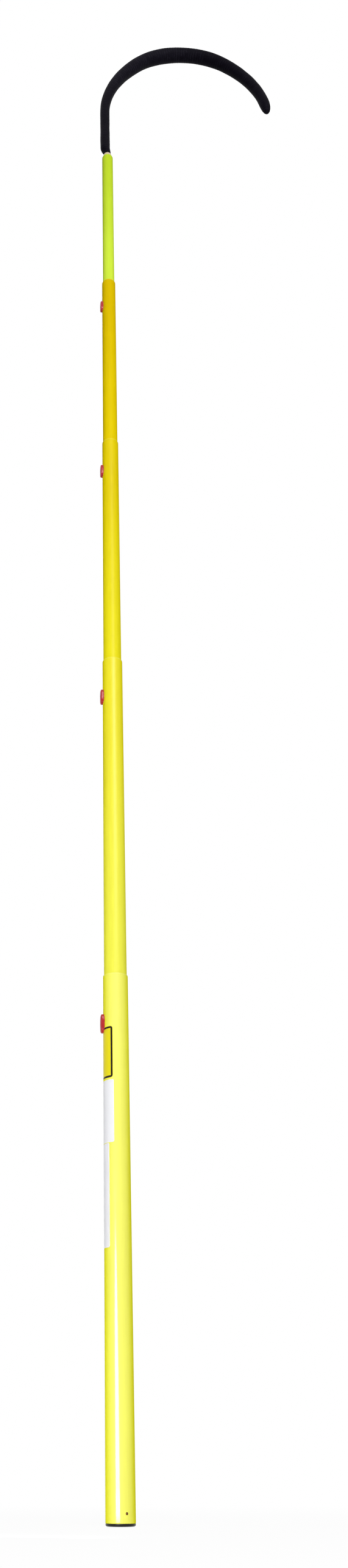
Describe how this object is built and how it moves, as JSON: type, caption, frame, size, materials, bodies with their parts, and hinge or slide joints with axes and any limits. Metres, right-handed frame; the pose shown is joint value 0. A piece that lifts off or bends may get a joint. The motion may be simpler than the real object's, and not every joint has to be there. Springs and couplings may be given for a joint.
{
  "type": "rescue hook",
  "caption": "Telescoping insulated pole with spring lock buttons, a capped butt and a padded body hook at its tip.",
  "frame": {"origin": "centre of the butt cap's flat bottom face", "axes": "+Z along the pole from the butt to the hook, +X from the pole towards the hook's free end, so the hook lies in the XZ plane; the lock buttons face -X, turned 5 degrees towards -Y"},
  "size_m": [0.5473, 0.0486, 4.1328],
  "materials": {
    "base_tube": "glossy lemon yellow fibreglass tube",
    "section_2_tube": "glossy bright yellow fibreglass tube",
    "section_3_tube": "glossy yellow fibreglass tube",
    "section_4_tube": "satin golden yellow fibreglass tube",
    "tip_tube": "satin fluorescent lime fibreglass tube",
    "butt_cap": "dark moulded rubber",
    "rivet": "dull brown rivet",
    "guide_plug": "dark nylon",
    "lock_button": "glossy red moulded plastic",
    "leaf_spring": "spring steel strip",
    "core_foam": "rigid cream foam",
    "ferrule": "matte cream plastic",
    "hook_rod": "plain steel",
    "hook_cover": "matte black closed-cell foam"
  },
  "bodies": {
    "base": {"base_tube": "base_tube", "butt_cap": "butt_cap", "butt_cap_rivet_front": "rivet", "butt_cap_rivet_rear": "rivet"},
    "section_2": {"section_2_tube": "section_2_tube", "guide_plug_2": "guide_plug", "leaf_spring_2": "leaf_spring"},
    "section_3": {"section_3_tube": "section_3_tube", "guide_plug_3": "guide_plug", "leaf_spring_3": "leaf_spring"},
    "section_4": {"section_4_tube": "section_4_tube", "guide_plug_4": "guide_plug", "leaf_spring_4": "leaf_spring"},
    "tip": {"tip_tube": "tip_tube", "guide_plug_tip": "guide_plug", "leaf_spring_tip": "leaf_spring", "tip_foam_core": "core_foam", "hook_ferrule": "ferrule", "ferrule_pin": "hook_rod", "hook_rod": "hook_rod", "hook_cover": "hook_cover"},
    "button_2": {"lock_button_2": "lock_button"},
    "button_3": {"lock_button_3": "lock_button"},
    "button_4": {"lock_button_4": "lock_button"},
    "button_tip": {"lock_button_tip": "lock_button"}
  },
  "joints": [
    {"name": "section_2_slide", "type": "slide", "parent": "base", "child": "section_2", "axis": [0, 0, 1], "range_m": [-0.734, 0], "deforming": ["lock_button_2"]},
    {"name": "section_3_slide", "type": "slide", "parent": "section_2", "child": "section_3", "axis": [0, 0, 1], "range_m": [-0.661, 0], "deforming": ["lock_button_3"]},
    {"name": "section_4_slide", "type": "slide", "parent": "section_3", "child": "section_4", "axis": [0, 0, 1], "range_m": [-0.591, 0], "deforming": ["lock_button_4"]},
    {"name": "tip_slide", "type": "slide", "parent": "section_4", "child": "tip", "axis": [0, 0, 1], "range_m": [-0.524, 0], "deforming": ["lock_button_tip"]},
    {"name": "button_2_press", "type": "slide", "parent": "section_2", "child": "button_2", "axis": [0.9962, 0.0872, 0], "range_m": [0, 0.0095], "stiffness_N_per_m": 400, "deforming": ["leaf_spring_2"]},
    {"name": "button_3_press", "type": "slide", "parent": "section_3", "child": "button_3", "axis": [0.9962, 0.0872, 0], "range_m": [0, 0.0095], "stiffness_N_per_m": 400, "deforming": ["leaf_spring_3"]},
    {"name": "button_4_press", "type": "slide", "parent": "section_4", "child": "button_4", "axis": [0.9962, 0.0872, 0], "range_m": [0, 0.0095], "stiffness_N_per_m": 400, "deforming": ["leaf_spring_4"]},
    {"name": "button_tip_press", "type": "slide", "parent": "tip", "child": "button_tip", "axis": [0.9962, 0.0872, 0], "range_m": [0, 0.0095], "stiffness_N_per_m": 400, "deforming": ["leaf_spring_tip"]}
  ],
  "couplings": [
    {"joint": "button_2_press", "follows": "section_2_slide", "ratio": -0.01294},
    {"joint": "button_3_press", "follows": "section_3_slide", "ratio": -0.01437},
    {"joint": "button_4_press", "follows": "section_4_slide", "ratio": -0.01607},
    {"joint": "button_tip_press", "follows": "tip_slide", "ratio": -0.01812}
  ]
}
